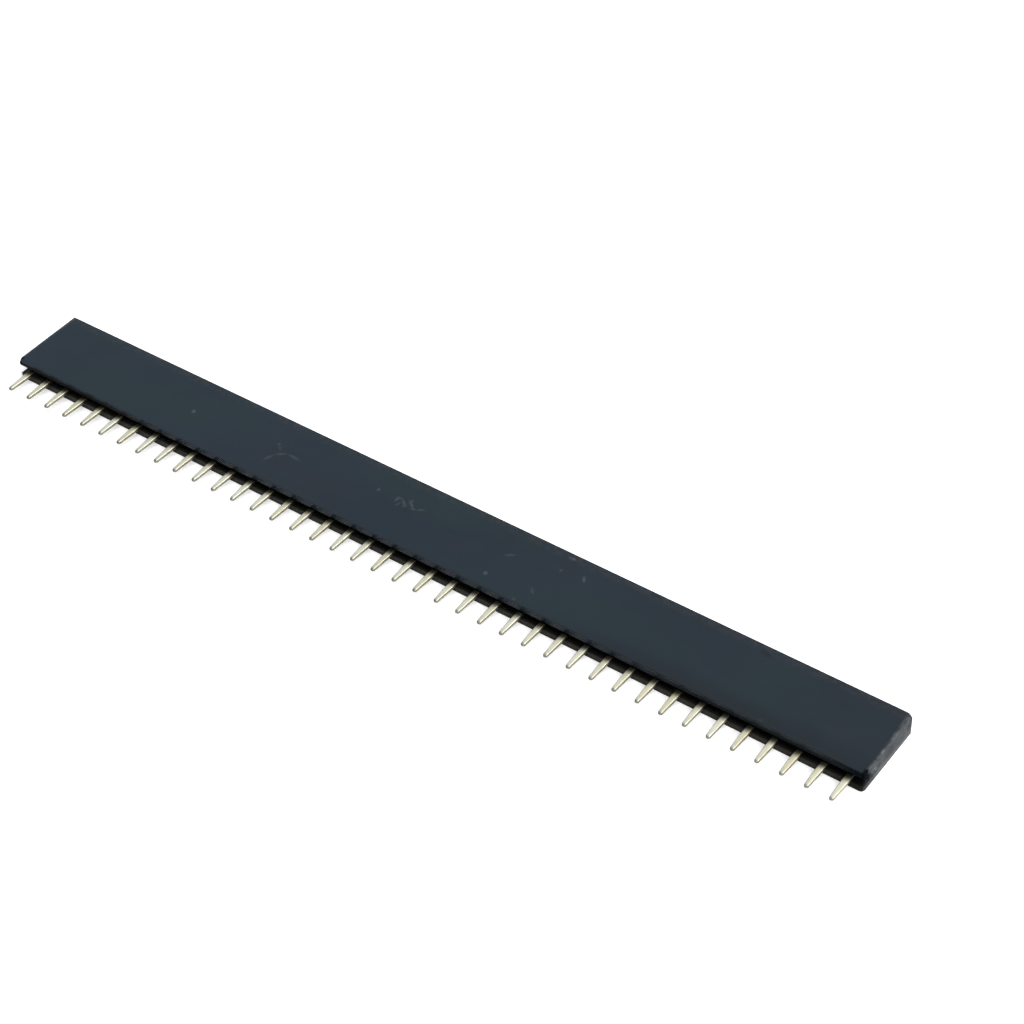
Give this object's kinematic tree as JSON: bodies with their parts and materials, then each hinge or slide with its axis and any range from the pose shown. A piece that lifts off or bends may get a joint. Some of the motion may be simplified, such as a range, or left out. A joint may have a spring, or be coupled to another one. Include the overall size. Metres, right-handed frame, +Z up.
{
  "type": "female pin header strip",
  "caption": "Single-row socket strip: a black plastic bar with a row of square sockets on one long edge and a row of tapered solder tails on the other.",
  "frame": {"origin": "under the middle of the whole part's bounding box, on the surface it lies on", "axes": "X along the row, +Y from the solder tails towards the mating face with the sockets, +Z up through the thickness, with one broad face of the housing down on z = 0"},
  "size_m": [0.102, 0.0116, 0.0025],
  "materials": {
    "housing_plastic": "moulded black thermoplastic with a soft sheen, lighter and rougher on the two end faces",
    "contact_metal": "pale gold flash plating over copper alloy, greyer at the cropped tips"
  },
  "bodies": {
    "root": {"housing": "housing_plastic", "contact_01": "contact_metal", "contact_02": "contact_metal", "contact_03": "contact_metal", "contact_04": "contact_metal", "contact_05": "contact_metal", "contact_06": "contact_metal", "contact_07": "contact_metal", "contact_08": "contact_metal", "contact_09": "contact_metal", "contact_10": "contact_metal", "contact_11": "contact_metal", "contact_12": "contact_metal", "contact_13": "contact_metal", "contact_14": "contact_metal", "contact_15": "contact_metal", "contact_16": "contact_metal", "contact_17": "contact_metal", "contact_18": "contact_metal", "contact_19": "contact_metal", "contact_20": "contact_metal", "contact_21": "contact_metal", "contact_22": "contact_metal", "contact_23": "contact_metal", "contact_24": "contact_metal", "contact_25": "contact_metal", "contact_26": "contact_metal", "contact_27": "contact_metal", "contact_28": "contact_metal", "contact_29": "contact_metal", "contact_30": "contact_metal", "contact_31": "contact_metal", "contact_32": "contact_metal", "contact_33": "contact_metal", "contact_34": "contact_metal", "contact_35": "contact_metal", "contact_36": "contact_metal", "contact_37": "contact_metal", "contact_38": "contact_metal", "contact_39": "contact_metal", "contact_40": "contact_metal"}
  },
  "joints": []
}
